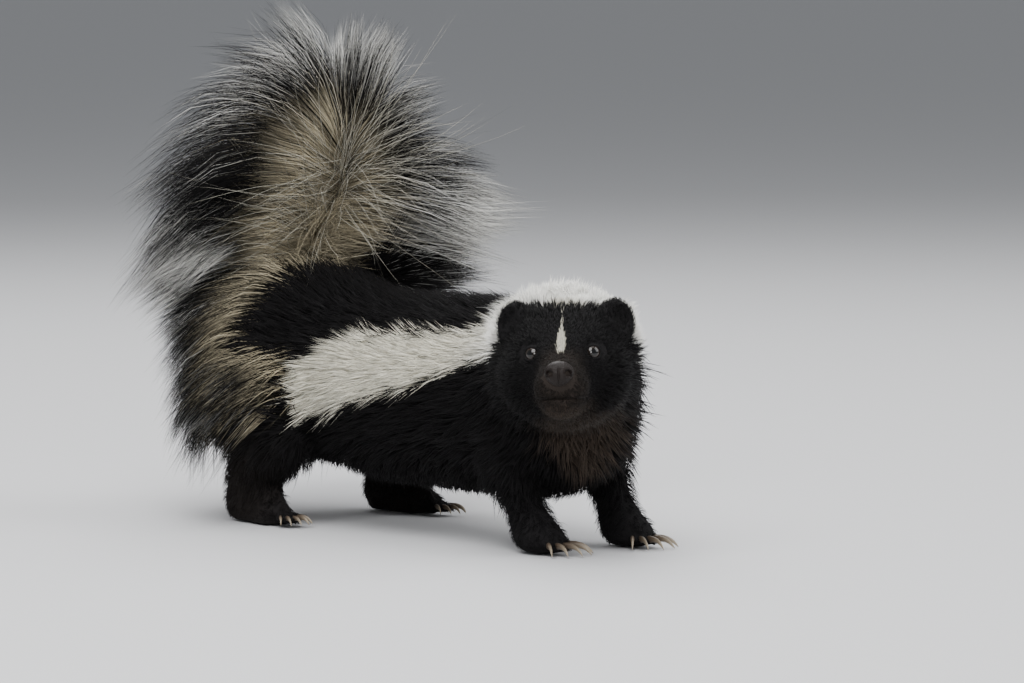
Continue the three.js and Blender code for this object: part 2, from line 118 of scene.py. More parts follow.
FACING = towards(-HEAD_TURN, HEAD_PITCH)
LEVEL_LEFT = unit(np.cross(UP, FACING))
LEFT = LEVEL_LEFT * math.cos(HEAD_ROLL) + np.cross(FACING, LEVEL_LEFT) * math.sin(HEAD_ROLL)
TOP = np.cross(FACING, LEFT)
HEAD_AXES = np.array([FACING, LEFT, TOP])


def on_head(ahead, left, above):
    return EYES_MIDDLE + np.array([ahead, left, above]) @ HEAD_AXES


def head_place(points):
    """How far points are ahead of the eyes, to the animal's left, and above."""
    return ((points - EYES_MIDDLE) @ HEAD_AXES.T).T


def middle_of(node):
    low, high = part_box(node)
    return (np.array(low) + np.array(high)) / 2


SHIFT = (middle_of("eye_left") + middle_of("eye_right")) / 2 - on_head(-EYE_DEPTH, 0, 0) * MM


def eye_centre(side):
    return on_head(-EYE_DEPTH, EYE_SPACING / 2 * side, 0)


def axes_towards(ahead, up):
    """Axes ahead, to the left and up, from a way ahead that is given in the head's own axes."""
    ahead = unit(np.array(ahead)) @ HEAD_AXES
    left = unit(np.cross(up, ahead))
    return np.array([ahead, left, np.cross(ahead, left)])


def gaze_axes(side):
    return axes_towards([0.86, 0.5 * side, 0.05], TOP)


# Camera at the photograph's place and framing

VIEW_TURN = math.radians(-38)
VIEW_RISE = math.radians(4)
VIEW_DISTANCE = 3300
AIM_LEFT = 26.9 # the camera looks this far beside the eyes, and above them
AIM_UP = 6.2
PICTURE_WIDTH = 1024 # in pixels
PIXELS_PER_MM = 1.86 # at the eyes
SENSOR_WIDTH = 36
BACK = towards(VIEW_TURN, VIEW_RISE)
VIEW_RIGHT = unit(np.cross(UP, BACK))
VIEW_UP = np.cross(BACK, VIEW_RIGHT)

camera = linked("camera", bpy.data.cameras.new("camera"))
camera.data.sensor_width = SENSOR_WIDTH
camera.data.lens = SENSOR_WIDTH * PIXELS_PER_MM * VIEW_DISTANCE / PICTURE_WIDTH
camera.data.clip_end = 200
seen_from = EYES_MIDDLE + BACK * VIEW_DISTANCE - VIEW_RIGHT * AIM_LEFT + VIEW_UP * AIM_UP
camera.location = Vector(seen_from * MM + SHIFT)
camera.rotation_euler = Vector(-BACK).to_track_quat("-Z", "Y").to_euler()
bpy.context.scene.camera = camera


# Lines through the body and the tail

def smooth_line(knots, count):
    """Points at even distances along a curve through the knots, and the curve's direction there."""
    knots = np.array(knots, float)
    padded = np.vstack([2 * knots[0] - knots[1], knots, 2 * knots[-1] - knots[-2]])
    fine = []
    for i in range(len(knots) - 1):
        a, b, c, d = padded[i : i + 4]
        t = np.linspace(0, 1, 40, endpoint=i == len(knots) - 2)[:, None]
        fine.append(0.5 * (2 * b + (c - a) * t + (2 * a - 5 * b + 4 * c - d) * t**2
                           + (3 * b - a - 3 * c + d) * t**3))
    fine = np.vstack(fine)
    length = np.concatenate([[0], np.cumsum(size_of(np.diff(fine, axis=0)))])
    even = np.linspace(0, length[-1], count)
    points = np.stack([np.interp(even, length, fine[:, k]) for k in range(3)], axis=1)
    return points, unit(np.gradient(points, axis=0))


SPINE, SPINE_AHEAD = smooth_line([
    (0, 158, 104), (0, 110, 104), (0, 20, 98), (0, -66, 95), (-9, -98, 99), (-25, -122, 104),
    on_head(-34, 0, -5), on_head(-10, 0, -9), on_head(12, 0, -16),
], 80)
TAIL_LINE, TAIL_AHEAD = smooth_line([
    (2, 174, 112), (9, 185, 136), (18, 172, 162), (23, 157, 188), (22, 147, 212),
], 60)


def beside(line, ahead, points):
    """The nearest place on a line to each point, as an index, and the line's direction there."""
    index = np.empty(len(points), int)
    for start in range(0, len(points), 20000):
        part = points[start : start + 20000]
        apart = size_of(part[:, None, :] - line[None])
        index[start : start + 20000] = np.argmin(apart, axis=1)
    return index, ahead[index]


# Meshes

def new_object(name, vertices, faces):
    """A mesh object from points in millimetres and triangles."""
    mesh = bpy.data.meshes.new(name)
    faces = np.asarray(faces, np.int32)
    mesh.vertices.add(len(vertices))
    set_places(mesh, vertices)
    mesh.loops.add(faces.size)
    mesh.loops.foreach_set("vertex_index", faces.ravel())
    mesh.polygons.add(len(faces))
    mesh.polygons.foreach_set("loop_start", np.arange(0, faces.size, 3, dtype=np.int32))
    mesh.polygons.foreach_set("use_smooth", np.ones(len(faces), bool))
    mesh.update(calc_edges=True)
    mesh.validate()
    return linked(name, mesh)


def rows_of(items, field, width, kind=np.float32):
    """One field of a mesh's items, with a row for each item."""
    values = np.empty(len(items) * width, kind)
    items.foreach_get(field, values)
    return values.reshape(-1, width)


def places(mesh):
    return (rows_of(mesh.vertices, "co", 3).astype(float) - SHIFT) / MM


def set_places(mesh, points):
    mesh.vertices.foreach_set("co", (points * MM + SHIFT).astype(np.float32).ravel())
    mesh.update()


def normals_of(mesh):
    return rows_of(mesh.vertex_normals, "vector", 3).astype(float)


def edges_of(mesh):
    return rows_of(mesh.edges, "vertices", 2, np.int32)


def corners_of(mesh):
    """The mesh as triangles of vertex numbers."""
    mesh.calc_loop_triangles()
    return rows_of(mesh.loop_triangles, "vertices", 3, np.int32)


def joined(parts):
    """Several pairs of points and faces as one."""
    starts = np.cumsum([0] + [len(points) for points, _ in parts])
    faces = [faces + start for (_, faces), start in zip(parts, starts)]
    return np.vstack([points for points, _ in parts]), np.vstack(faces)


def solids_of(nodes):
    """The points, in millimetres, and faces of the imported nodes."""
    meshes = [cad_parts[node].data for node in nodes]
    return joined([(places(mesh), corners_of(mesh)) for mesh in meshes])


def smoothed(points, edges, rounds, strength):
    """Points drawn towards the mean of their neighbours."""
    count = np.bincount(edges.ravel(), minlength=len(points))[:, None]
    strength = np.broadcast_to(strength, len(points))[:, None]
    for _ in range(rounds):
        total = np.stack([
            np.bincount(edges[:, 0], points[edges[:, 1], k], len(points))
            + np.bincount(edges[:, 1], points[edges[:, 0], k], len(points))
            for k in range(3)
        ], axis=1)
        points = points + (total / np.maximum(count, 1) - points) * strength
    return points


def largest_body(obj):
    """Removes every loose body but the largest from the object's mesh."""
    edges = edges_of(obj.data)
    label = np.arange(len(obj.data.vertices))
    while True:
        low = np.minimum(label[edges[:, 0]], label[edges[:, 1]])
        new = label.copy()
        np.minimum.at(new, edges[:, 0], low)
        np.minimum.at(new, edges[:, 1], low)
        new = new[new]
        if np.array_equal(new, label):
            break
        label = new
    keep = label == np.bincount(label).argmax()
    if keep.all():
        return
    work = bmesh.new()
    work.from_mesh(obj.data)
    work.verts.ensure_lookup_table()
    bmesh.ops.delete(work, geom=[work.verts[i] for i in np.flatnonzero(~keep)], context="VERTS")
    work.to_mesh(obj.data)
    work.free()


def remeshed(name, points, faces, voxel):
    """One closed surface round all the triangles, with the voxel size in millimetres."""
    rough = new_object(name, points, faces)
    change = rough.modifiers.new("remesh", "REMESH")
    change.mode = "VOXEL"
    change.voxel_size = voxel * MM
    done = bpy.data.meshes.new_from_object(rough.evaluated_get(bpy.context.evaluated_depsgraph_get()))
    bpy.data.objects.remove(rough)
    obj = linked(name, done)
    largest_body(obj)
    obj.data.polygons.foreach_set("use_smooth", np.ones(len(obj.data.polygons), bool))
    return obj


def swept(line, wide, high, sides=12, reference=UP):
    """A closed surface along a line, from half widths and half heights at its points."""
    line = np.array(line, float)
    ahead = unit(np.gradient(line, axis=0))
    side = unit(np.cross(ahead, reference))
    top = np.cross(side, ahead)
    angle = 2 * np.pi * np.arange(sides) / sides
    rings = (line[:, None] + np.cos(angle)[:, None] * (top * np.array(high)[:, None])[:, None]
             + np.sin(angle)[:, None] * (side * np.array(wide)[:, None])[:, None])
    count = len(line)
    points = np.vstack([line[:1], rings.reshape(-1, 3), line[-1:]])
    faces = []
    for k in range(sides):
        after = (k + 1) % sides
        faces.append((0, 1 + after, 1 + k))
        for ring in range(count - 1):
            a, b = 1 + ring * sides + k, 1 + ring * sides + after
            faces += [(a, b, b + sides), (a, b + sides, a + sides)]
        last = 1 + (count - 1) * sides
        faces.append((len(points) - 1, last + k, last + after))
    return points, np.array(faces)


def ball(centre, radii, axes, sides=16, steps=12, gap=0.12):
    """An ellipsoid whose axes are the rows of a matrix, with a small flat of gap radians at its poles."""
    lean = np.linspace(gap, math.pi - gap, steps)
    line = np.array(centre) - np.cos(lean)[:, None] * radii[0] * axes[0]
    return swept(line, np.sin(lean) * radii[1], np.sin(lean) * radii[2], sides, axes[2])


# Markings: black, with a pale nape, two stripes, a blaze and a brown throat

BLACK = (0.0078, 0.0072, 0.0076)
BROWN = (0.062, 0.046, 0.035)
CREAM = (0.82, 0.785, 0.66)
WHITE = (0.85, 0.84, 0.795)
TAN = (0.56, 0.49, 0.34)
TAIL_TIP_PAINTED_SHADE = 0.76 # the tail's white tips are painted greyer than the nape: painted shade for the shadow among the tail's sparse hair
STRIPE_TOP = ([-97, -80, -71, -60, -28, 10, 40, 66, 84], [175, 170, 136, 119, 113, 111, 109, 103, 94])
STRIPE_FOOT = ([-97, -80, -51, -32, -11, 10, 32, 52, 70, 96], [113, 109, 101, 95, 89, 84, 79, 74, 71, 69])
STRIPE_END = ([66, 76, 88, 106], [82, 88, 91, 88])
BLAZE = (
    [-1.4, -0.9, 0.1, 4.2, 8.2, 11.6, 15, 18.4, 21.8, 33],
    [0.3, 1.7, 2, 2.4, 2.1, 1.2, 0.4, 0.1, 0, 0.3],
)
BLAZE_SHADE = 0.62 # it is creamier and darker than the nape


def wavering(points, scale, seed):
    """A smooth field of about -1 to 1 that changes over a distance in millimetres."""
    draw = np.random.default_rng(seed)
    total = np.zeros(len(points))
    for octave in range(3):
        turn = unit(draw.normal(size=(4, 3))) * 2 * np.pi / (scale * 0.6**octave)
        for k in range(4):
            total += np.sin(points @ turn[k] + draw.uniform(0, 6.3)) * 0.6**octave
    return total / 4


def whiteness(points):
    """How white the coat is at its roots: 1 in the nape, stripes and blaze."""
    x, y, z = points.T
    ahead, left, above = head_place(points)
    ragged = 1.3 * wavering(points, 9, 3)
    high = np.interp(y + 14 * np.clip(1 - (x / 30) ** 2, 0, 1), *STRIPE_TOP) + ragged
    foot = np.interp(y, *STRIPE_FOOT) - ragged
    end = np.interp(z, *STRIPE_END) + 5 * wavering(points, 14, 4)
    stripe = ramp(-2, 2, high - z) * ramp(-2, 2, z - foot) * ramp(3, -3, y - end) * ramp(-99, -95, y)
    edge = -20 - 17 * (np.abs(left) / 27) ** 1.6 + ragged
    floor = np.interp(ahead, [-62, -38], [110, 118])
    nape = ramp(1.2, -1.2, ahead - edge) * ramp(-1, 1, z - floor) * ramp(-93, -97, y)
    width = np.interp(above, *BLAZE)
    on_face = ramp(-26, -22, ahead) * ramp(-1.8, -0.8, above)
    blaze = ramp(0.6, -0.6, np.abs(left) - width) * on_face
    return np.clip(stripe + nape + blaze, 0, 1)


def browning(points):
    """How brown the black coat is: on the muzzle, the throat's patch and the lower thighs."""
    _, y, z = points.T
    ahead, _, above = head_place(points)
    muzzle = ramp(2, 14, ahead) * ramp(6, -4, above)
    aside = (points - EYES_MIDDLE) @ VIEW_RIGHT
    width = np.interp(z, [44, 62, 84], [1, 13, 19])
    middle = np.interp(z, [44, 84], [12, 8])
    edge = 5 * wavering(points, 22, 5)
    throat = ramp(7, -5, np.abs(aside - middle) - width + edge) * ramp(94, 78, z + edge)
    throat = throat * ramp(-70, -90, y) * ramp(40, 52, z + edge)
    thigh = 0.12 * ramp(70, 30, z) * ramp(90, 130, y)
    return np.clip(muzzle * 0.28 + throat * 0.8 + thigh, 0, 1)


def coat_colours(points, white):
    colour = blend(BLACK, BROWN, browning(points))
    pale = blend(WHITE, CREAM, ramp(-100, -40, points[:, 1]))
    pale = blend(pale, np.array(CREAM) * BLAZE_SHADE, ramp(-26, -20, head_place(points)[0]))
    return blend(colour, pale, white)


def hair_colours(points):
    """Each hair is wholly dark or wholly pale, so that they mingle along an edge."""
    return coat_colours(points, rng.uniform(size=len(points)) < whiteness(points))


# Skin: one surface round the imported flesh, drawn in by the depth of the coat

FLESH_PARTS = ("torso", "neck", "head", "ear", "foreleg", "forefoot", "hindleg", "hindfoot")
FLESH = [name for name in sorted(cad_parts) if name.split("_")[0] in FLESH_PARTS]
SKIN_VOXEL = 1.5
NOSE_VOXEL = 0.45
SKIN_FLOOR = 0.4 # the lowest that the skin comes
TAIL_BONE = 13 # half the thickness of the tail's flesh at its root
EAR_SIZE = np.array([7, 12.5, 14.5])


def ear_centre(side):
    return on_head(-31, 27 * side, 17.5)


def ear_axes(side):
    return axes_towards([0.8, 0.6 * side, 0.05], np.array([-0.1, 0.2 * side, 1]) @ HEAD_AXES)


def in_ear(points):
    """From 0 outside the ears to 1 inside their outline."""
    inside = np.zeros(len(points))
    for side in SIDES.values():
        place = (points - ear_centre(side)) @ ear_axes(side).T / (EAR_SIZE + 1.5)
        inside = np.maximum(inside, ramp(1.05, 0.9, size_of(place)))
    return inside


def coat_depth(points):
    """How deep the skin lies under the tips of the coat."""
    ahead, ear = head_place(points)[0], in_ear(points)
    head = np.interp(ahead, [-78, -50, -30, -8, 8], [8, 7, 3.2, 1.5, 0.8])
    limbs = np.interp(points[:, 2], [4, 24, 62], [1.0, 2.4, 8])
    return np.minimum(head, limbs) * (1 - ear) + 0.5 * ear


def claw_lines():
    """The middle line of each claw, with its length and thickness."""
    claws = []
    for side in SIDES.values():
        fore = dict(middle=(31 * side, -107, 5), heading=-0.08 * side, fan=0.6, long=12, thick=3.4, drop=4.4)
        hind = dict(middle=(54 * side, 109, 5), heading=0.12 * side, fan=0.48, long=7, thick=2.8, drop=3.4)
        for foot in (fore, hind):
            for place in np.linspace(-1, 1, 5):
                angle = foot["heading"] + place * foot["fan"]
                ahead = towards(angle, 0)
                root = np.array(foot["middle"]) + ahead * (20 * (1 - 0.16 * place**2) - 1.5) + UP * 0.5
                a = root - ahead * 3
                b = root + ahead * foot["long"] * 0.6 + UP * foot["thick"] * 0.6
                c = root + ahead * foot["long"] - UP * foot["drop"]
                t = np.linspace(0, 1, 9)[:, None]
                line = a * (1 - t) ** 2 + 2 * b * t * (1 - t) + c * t**2
                claws.append(dict(line=line, root=root, ahead=ahead, thick=foot["thick"]))
    return claws


def bare_of_claws(points):
    """Draws the skin back off the claws, to the ends of the toes."""
    for claw in claw_lines():
        place = points - claw["root"]
        along = place @ claw["ahead"]
        aside = size_of(place - along[:, None] * claw["ahead"] - UP * place[:, 2:])
        past = (along > 0.3) & (along < 16) & (aside < 3.2)
        points[past] -= claw["ahead"] * (along[past, None] - 0.3) * 0.96
    return points


def eyelids(points):
    """Shapes the lids round each eye, and lays the skin behind the eye inside its opening."""
    for side in SIDES.values():
        centre = eye_centre(side)
        axes = gaze_axes(side)
        place = (points - centre) @ axes.T
        reach = size_of(place)
        out = place / np.maximum(reach, 1e-6)[:, None]
        near = (reach < EYE_RADIUS + 4) & (out[:, 0] > 0)
        upper = np.where(out[:, 2] > 0, 0.66, 0.6)
        rim = np.hypot(out[:, 1] / 0.86, out[:, 2] / upper)
        lid = EYE_RADIUS + 0.15 + 0.75 * np.exp(-(((rim - 1.16) / 0.2) ** 2))
        target = np.where(rim < 1, EYE_RADIUS - 1.4, np.maximum(lid, reach * ramp(1.1, 1.6, rim)))
        target = np.where(rim < 1.02, target, np.maximum(target, EYE_RADIUS + 0.15))
        points[near] = centre + (out[near] * target[near, None]) @ axes
    return points


def lips(points):
    """Sinks the line of the mouth, and swells the lips beside it."""
    ahead, left, above = head_place(points)
    line = np.interp(ahead, [1, 8, 20, 40], [-27, -25, -25.6, -26.4])
    off = above - line
    there = ramp(-2, 3, ahead) * (np.abs(left) < 22)
    normal_out = unit(np.stack([0.6 * ramp(14, 24, ahead) + 0.1, np.sign(left) * ramp(0, 5, np.abs(left)),
                                0 * ahead], axis=1) + 1e-6) @ HEAD_AXES
    sink = -1.5 * np.exp(-((off / 0.7) ** 2)) + 0.35 * np.exp(-(((np.abs(off) - 1.9) / 0.9) ** 2))
    return points + normal_out * (sink * there)[:, None]


def make_skin():
    share = np.linspace(0, 1, len(TAIL_LINE))
    bone = TAIL_BONE * (1 - 0.6 * share) * np.sqrt(np.clip((1.02 - share) / 0.1, 0, 1))
    skin = remeshed("skin", *joined([
        solids_of(FLESH + ["eye_left", "eye_right", "nose"]),
        swept(TAIL_LINE, bone, bone, 16, np.array([1.0, 0, 0])),
        ball(on_head(8, 0, -24), (17, 10, 8), HEAD_AXES),
    ]), SKIN_VOXEL)
    points = places(skin.data)
    firm = np.maximum(in_ear(points), ramp(14, 6, points[:, 2]))
    points = smoothed(points, edges_of(skin.data), 14, 0.5 * (1 - 0.85 * firm))
    set_places(skin.data, points)
    points = places(skin.data) - normals_of(skin.data) * coat_depth(points)[:, None]
    points = smoothed(bare_of_claws(points), edges_of(skin.data), 3, 0.4 * (1 - 0.7 * firm))
    points[:, 2] = np.maximum(points[:, 2], SKIN_FLOOR)
    set_places(skin.data, points)
    refine_face(skin)
    set_places(skin.data, lips(eyelids(places(skin.data))))
    return skin


def refine_face(skin):
    """Splits the face's polygons, so that lids and lips have room."""
    marks = [on_head(20, 0, -20)] + [eye_centre(side) for side in SIDES.values()]

    def from_marks(points):
        return np.min([size_of(points - mark) for mark in marks], axis=0)

    for reach in (34, 12):
        points = places(skin.data)
        chosen = (from_marks(points) < reach) & (head_place(points)[0] > -14)
        work = bmesh.new()
        work.from_mesh(skin.data)
        work.verts.ensure_lookup_table()
        edges = [edge for edge in work.edges if all(chosen[vertex.index] for vertex in edge.verts)]
        bmesh.ops.subdivide_edges(work, edges=edges, cuts=1, use_grid_fill=True)
        bmesh.ops.triangulate(work, faces=[face for face in work.faces if len(face.verts) > 4])
        work.to_mesh(skin.data)
        work.free()
        points = places(skin.data)
        strength = 0.4 * ramp(reach + 3, reach - 3, from_marks(points))
        set_places(skin.data, smoothed(points, edges_of(skin.data), 3, strength))


# Materials

def plug(tree, node, inputs):
    """Gives a node's inputs their values, or links them where the value is another's output."""
    for socket, value in inputs.items():
        if isinstance(value, bpy.types.NodeSocket):
            tree.links.new(value, node.inputs[socket])
        else:
            node.inputs[socket].default_value = value


def add(tree, kind, output, **inputs):
    """Adds a node, and returns the output that is wanted of it."""
    node = tree.nodes.new(f"ShaderNode{kind}")
    plug(tree, node, {socket.replace("_", " "): value for socket, value in inputs.items()})
    return node.outputs[output]


def material(name, colour, roughness, specular=0.5):
    """A node material on the standard shader, its fixed values set on the shader's own sockets."""
    made = bpy.data.materials.new(name)
    made.use_nodes = True
    shader = made.node_tree.nodes["Principled BSDF"]
    values = {"Base Color": (*colour, 1), "Roughness": roughness, "Specular IOR Level": specular}
    plug(made.node_tree, shader, values)
    return made, made.node_tree, shader


def noise(tree, scale, detail):
    place = add(tree, "TexCoord", "Object")
    return add(tree, "TexNoise", "Fac", Scale=scale, Detail=detail, Roughness=0.6, Vector=place)


def bumped(tree, shader, height, strength, distance):
    bump = add(tree, "Bump", "Normal", Strength=strength, Distance=distance, Height=height)
    plug(tree, shader, {"Normal": bump})


def varied_colour(tree, shader, factor, low, high):
    """The mesh's own colour, made darker and lighter by a factor from 0 to 1."""
    own = add(tree, "Attribute", "Color")
    own.node.attribute_name = "Coat"
    spread = add(tree, "MapRange", "Result", Value=factor, To_Min=low, To_Max=high)
    scaled = add(tree, "VectorMath", "Vector")
    scaled.node.operation = "SCALE"
    plug(tree, scaled.node, {0: own, "Scale": spread})
    plug(tree, shader, {"Base Color": scaled})


def coat_material(name, roughness, specular, bump):
    made, tree, shader = material(name, (0.1, 0.1, 0.1), roughness, specular)
    varied_colour(tree, shader, noise(tree, 260, 3), 0.72, 1.28)
    bumped(tree, shader, noise(tree, 1500, 2), bump, 0.0006)
    return made


def nose_material():
    made, tree, shader = material("nose_skin", (0.01, 0.007, 0.006), 0.42, 0.16)
    place = add(tree, "TexCoord", "Object")
    pebbles = add(tree, "TexVoronoi", "Distance", Scale=1500, Vector=place)
    bumped(tree, shader, pebbles, 0.6, 0.0004)
    return made


def streaked_material(name, colour, roughness, scale, spread):
    made, tree, shader = material(name, colour, roughness)
    varied_colour(tree, shader, noise(tree, scale, 4), 1 - spread, 1 + spread)
    return made


HAIR = coat_material("hair", 0.6, 0.09, 0.2)
SKIN = coat_material("skin", 0.85, 0.1, 0.8)
NOSE_SKIN = nose_material()
EYE = streaked_material("eye", (0.006, 0.004, 0.003), 0.06, 900, 0.4)
CLAW = streaked_material("claw", (0.2, 0.15, 0.1), 0.35, 700, 0.3)


def painted(obj, colours, surface):
    """Gives each vertex its colour, and the object its material."""
    layer = obj.data.color_attributes.new("Coat", "FLOAT_COLOR", "POINT")
    colours = np.hstack([colours, np.ones((len(colours), 1))]).astype(np.float32)
    layer.data.foreach_set("color", colours.ravel())
    obj.data.materials.clear()
    obj.data.materials.append(surface)


# Hair: closed, tapered strands of three sides

SECTION = np.array([[0.0, 1.0], [0.87, -0.5], [-0.87, -0.5]])
PATCH = 0.003 # a strand's share of the flattened skin
CLUMP = 9 # tufts of fur that lean together
LOCK = 20 # hairs of the skirt and the lobe that lean together
HAIR_FLOOR = 0.3 # the lowest that fur comes
SKIRT_FLOOR = 14 # the lowest that the skirt comes
COUNT = dict(dark=26500, pale=21000, nape=6500, head=24000, limbs=7000, skirt=7600, lobe=2000, strays=1200)

# Half the width of a strand at its root, and half its thickness where that has a value of its own
WIDE = dict(dark=0.37, pale=0.27, nape=0.24, tail=0.27, skirt=0.24, lobe=0.34, strays=0.17)
THICK = dict(skirt=0.18, lobe=0.24, strays=0.13)


def strands(name, paths, wide, thick, face, colours, unwrap):
    """A piece of coat from its strands' points, the last of which is the tip.

    wide and thick are half sizes at the root, for all or for each, face is the way that a strand's
    flat side looks, and unwrap is each root's place on the flattened skin.
    """
    count, rings = paths.shape[0], paths.shape[1] - 1
    ahead = unit(np.gradient(paths, axis=1))[:, :rings]
    side = unit(np.cross(ahead, face[:, None, :]))
    top = np.cross(side, ahead)
    share = np.arange(rings) / rings
    taper = (1 - share) ** 0.6
    wide, thick = (np.broadcast_to(half, count)[:, None, None, None] for half in (wide, thick))
    section = side[:, :, None] * SECTION[:, :1] * wide + top[:, :, None] * SECTION[:, 1:] * thick
    ring_points = paths[:, :rings, None] + section * taper[:, None, None]
    points = np.concatenate([ring_points.reshape(count, rings * 3, 3), paths[:, -1:]], axis=1)
    size = rings * 3 + 1
    faces = [(0, 2, 1)]
    for ring in range(rings - 1):
        for k in range(3):
            a, b = ring * 3 + k, ring * 3 + (k + 1) % 3
            faces += [(a, b, b + 3), (a, b + 3, a + 3)]
    last = (rings - 1) * 3
    faces += [(last + k, last + (k + 1) % 3, size - 1) for k in range(3)]
    faces = (np.array(faces)[None] + np.arange(count)[:, None, None] * size).reshape(-1, 3)
    obj = new_object(name, points.reshape(-1, 3), faces)
    tint = np.repeat(colours[:, :rings], 3, axis=1)
    tint = np.concatenate([tint, colours[:, -1:]], axis=1)
    painted(obj, tint.reshape(-1, 3), HAIR)
    low, high = unwrap.min(axis=0), unwrap.max(axis=0)
    place = 0.005 + 0.99 * (unwrap - low) / np.maximum(high - low, 1e-6)
    across_patch = np.append(np.tile([-0.5, 0, 0.5], rings), 0) * PATCH
    along_patch = np.append(np.repeat(share, 3), 1) * PATCH
    patch = np.stack([across_patch, along_patch], axis=1)
    uv = (place[:, None] + patch[None]).reshape(-1, 2)
    layer = obj.data.uv_layers.new(name="OFBake")
    layer.data.foreach_set("uv", uv[faces.ravel()].astype(np.float32).ravel())
    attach(obj, "root")


def roots_on(skin, count, weight):
    """Random places on the skin, more where weight is high, with the skin's normals there."""
    points, normal, faces = places(skin.data), normals_of(skin.data), corners_of(skin.data)
    a, b, c = (points[faces[:, k]] for k in range(3))
    area = size_of(np.cross(b - a, c - a)) / 2
    chance = np.cumsum(area * weight((a + b + c) / 3))
    pick = np.searchsorted(chance, rng.uniform(0, chance[-1], count))
    u, v = rng.uniform(size=(2, count, 1))
    flip = u + v > 1
    u, v = np.where(flip, 1 - u, u), np.where(flip, 1 - v, v)
    root = a[pick] * (1 - u - v) + b[pick] * u + c[pick] * v
    out = unit(normal[faces[pick, 0]] * (1 - u - v) + normal[faces[pick, 1]] * u + normal[faces[pick, 2]] * v)
    return root, out


def nearest(guides, points):
    """The number of the nearest guide to each point."""
    tree = KDTree(len(guides))
    for i, guide in enumerate(guides):
        tree.insert(guide, i)
    tree.balance()
    return np.array([tree.find(point)[1] for point in points])


def lie_of(points, normal):
    """The way the coat lies: back from the nose, along the body, down the limbs."""
    _, y, z = points.T
    from_nose = points - on_head(30, 0, -14)
    _, spine = beside(SPINE, SPINE_AHEAD, points)
    body = -spine + np.array([0, 0, -0.28]) * ramp(0.2, 1, np.abs(normal[:, :1]))
    lie = blend(unit(body), unit(from_nose), ramp(105, 55, size_of(from_nose)))
    lie = blend(lie, (0, 0.25, -1.0), ramp(62, 34, z) * ramp(-140, -120, y))
    rump = ramp(110, 160, y) * ramp(40, 70, z)
    lie = blend(lie, (0, 0.35, -0.9), rump * ramp(-0.2, 0.6, normal[:, 1]))
    return across(lie, normal)


def locks_of(root, every, stray):
    """The lock that each root belongs to, and its lock's stray from the lie."""
    lock = nearest(root[::every], root)
    return lock, (rng.normal(size=(len(root[::every]), 3)) * stray)[lock]


def varied(count, spread, low, high):
    """Random factors round 1, kept within bounds."""
    return (1 + spread * rng.normal(size=count)).clip(low, high)


def straight(root, heading, long, t):
    """Straight hairs, as points at the shares t of their length."""
    return root[:, None] + heading[:, None] * (long[:, None] * t)[..., None]


def drawn_to(guides, paths, pull):
    """Hairs pulled towards their guides, by a share at each of their points."""
    return paths + (guides - paths) * pull[:, None]


def fur(name, root, normal, lie, length, lift, colours, unwrap, width, stray=0.12, clump=0.3):
    """Tufts that leave the skin at a slope and bend back along the coat's lie."""
    count = len(root)
    group, shared = locks_of(root, CLUMP, stray)
    own = rng.normal(size=(count, 3)) * stray * 0.6
    heading = across(lie + shared + own, normal)
    long = length * varied(count, 0.16, 0.5, 1.5)
    rise = np.radians(lift) * varied(count, 0.25, 0.3, 1.8)
    t = np.linspace(0, 1, 3)
    above = (long * np.sin(rise))[:, None] * (t - 0.42 * t**2)
    paths = straight(root, heading, long * np.cos(rise), t) + normal[:, None] * above[..., None]
    paths = drawn_to(paths[::CLUMP][group], paths, clump * t**1.5)
    paths[:, 0] -= normal * 0.6
    paths[..., 2] = np.maximum(paths[..., 2], HAIR_FLOOR)
    pale = ramp(0.2, 0.5, colours[:, 1])[:, None, None]
    # Painted shade: each strand is darker at its root and lighter towards its tip, for the shade the coat
    # casts on its own roots. The random factor below varies the tone.
    shade = 0.78 + 0.14 * pale + (0.3 - 0.16 * pale) * t[:, None]
    shade = shade * (1 + 0.08 * rng.normal(size=(count, 1, 1)))
    tint = np.clip(colours[:, None] * shade, 0, 1)
    strands(name, paths, width, width * 0.4, normal, tint, unwrap)


def body_unwrap(points):
    """The skin of the body laid flat: along the spine, and round it."""
    index, ahead = beside(SPINE, SPINE_AHEAD, points)
    side = unit(np.cross(ahead, UP))
    top = np.cross(side, ahead)
    out = points - SPINE[index]
    along = index + np.sum(out * ahead, axis=1) / 6
    return np.stack([np.arctan2(np.sum(out * side, axis=1), np.sum(out * top, axis=1)), along], axis=1)


def head_unwrap(points):
    """The skin of the head laid flat: round the line of sight, and back from the nose."""
    ahead, left, above = head_place(points)
    return np.stack([np.arctan2(left, above + 6), -ahead + 0.3 * np.hypot(left, above + 6)], axis=1)


def limb_unwrap(points):
    """The skin of the four limbs laid flat side by side: round each, and up it."""
    x, y, z = points.T
    hind, right = y > 20, x < 0
    middle = np.where(hind, 52, 32) * np.where(right, -1, 1)
    round_limb = np.arctan2(x - middle, y - np.where(hind, 132, -98))
    return np.stack([round_limb + 6.6 * (hind + 2 * right), z], axis=1)


def headness(points):
    """1 on the head and ears, 0 on the body."""
    ahead = head_place(points)[0]
    return ((ahead > -42) & (size_of(points - on_head(-18, 0, -6)) < 62)).astype(float)


def limbness(points):
    """1 on the feet and lower legs."""
    x, _, z = points.T
    return ((z < 36) & ((np.abs(x) > 18) | (z < 20))).astype(float)


def tailness(points):
    """1 on the tail's flesh."""
    index, _ = beside(TAIL_LINE, TAIL_AHEAD, points)
    apart = size_of(points - TAIL_LINE[index])
    return ((index > 12) & (apart < 20)).astype(float)


def in_pieces(name, count, pieces):
    """Names and slices that share out many strands."""
    bounds = np.linspace(0, count, pieces + 1).astype(int)
    for i in range(pieces):
        yield f"{name}_{i + 1}", slice(bounds[i], bounds[i + 1])


def fur_in_pieces(name, pieces, width, *tufts, clump):
    """Fur shared out over pieces, from values that each have a row for every tuft."""
    for piece, part in in_pieces(name, len(width), pieces):
        fur(piece, *(rows[part] for rows in tufts), width[part], clump=clump)


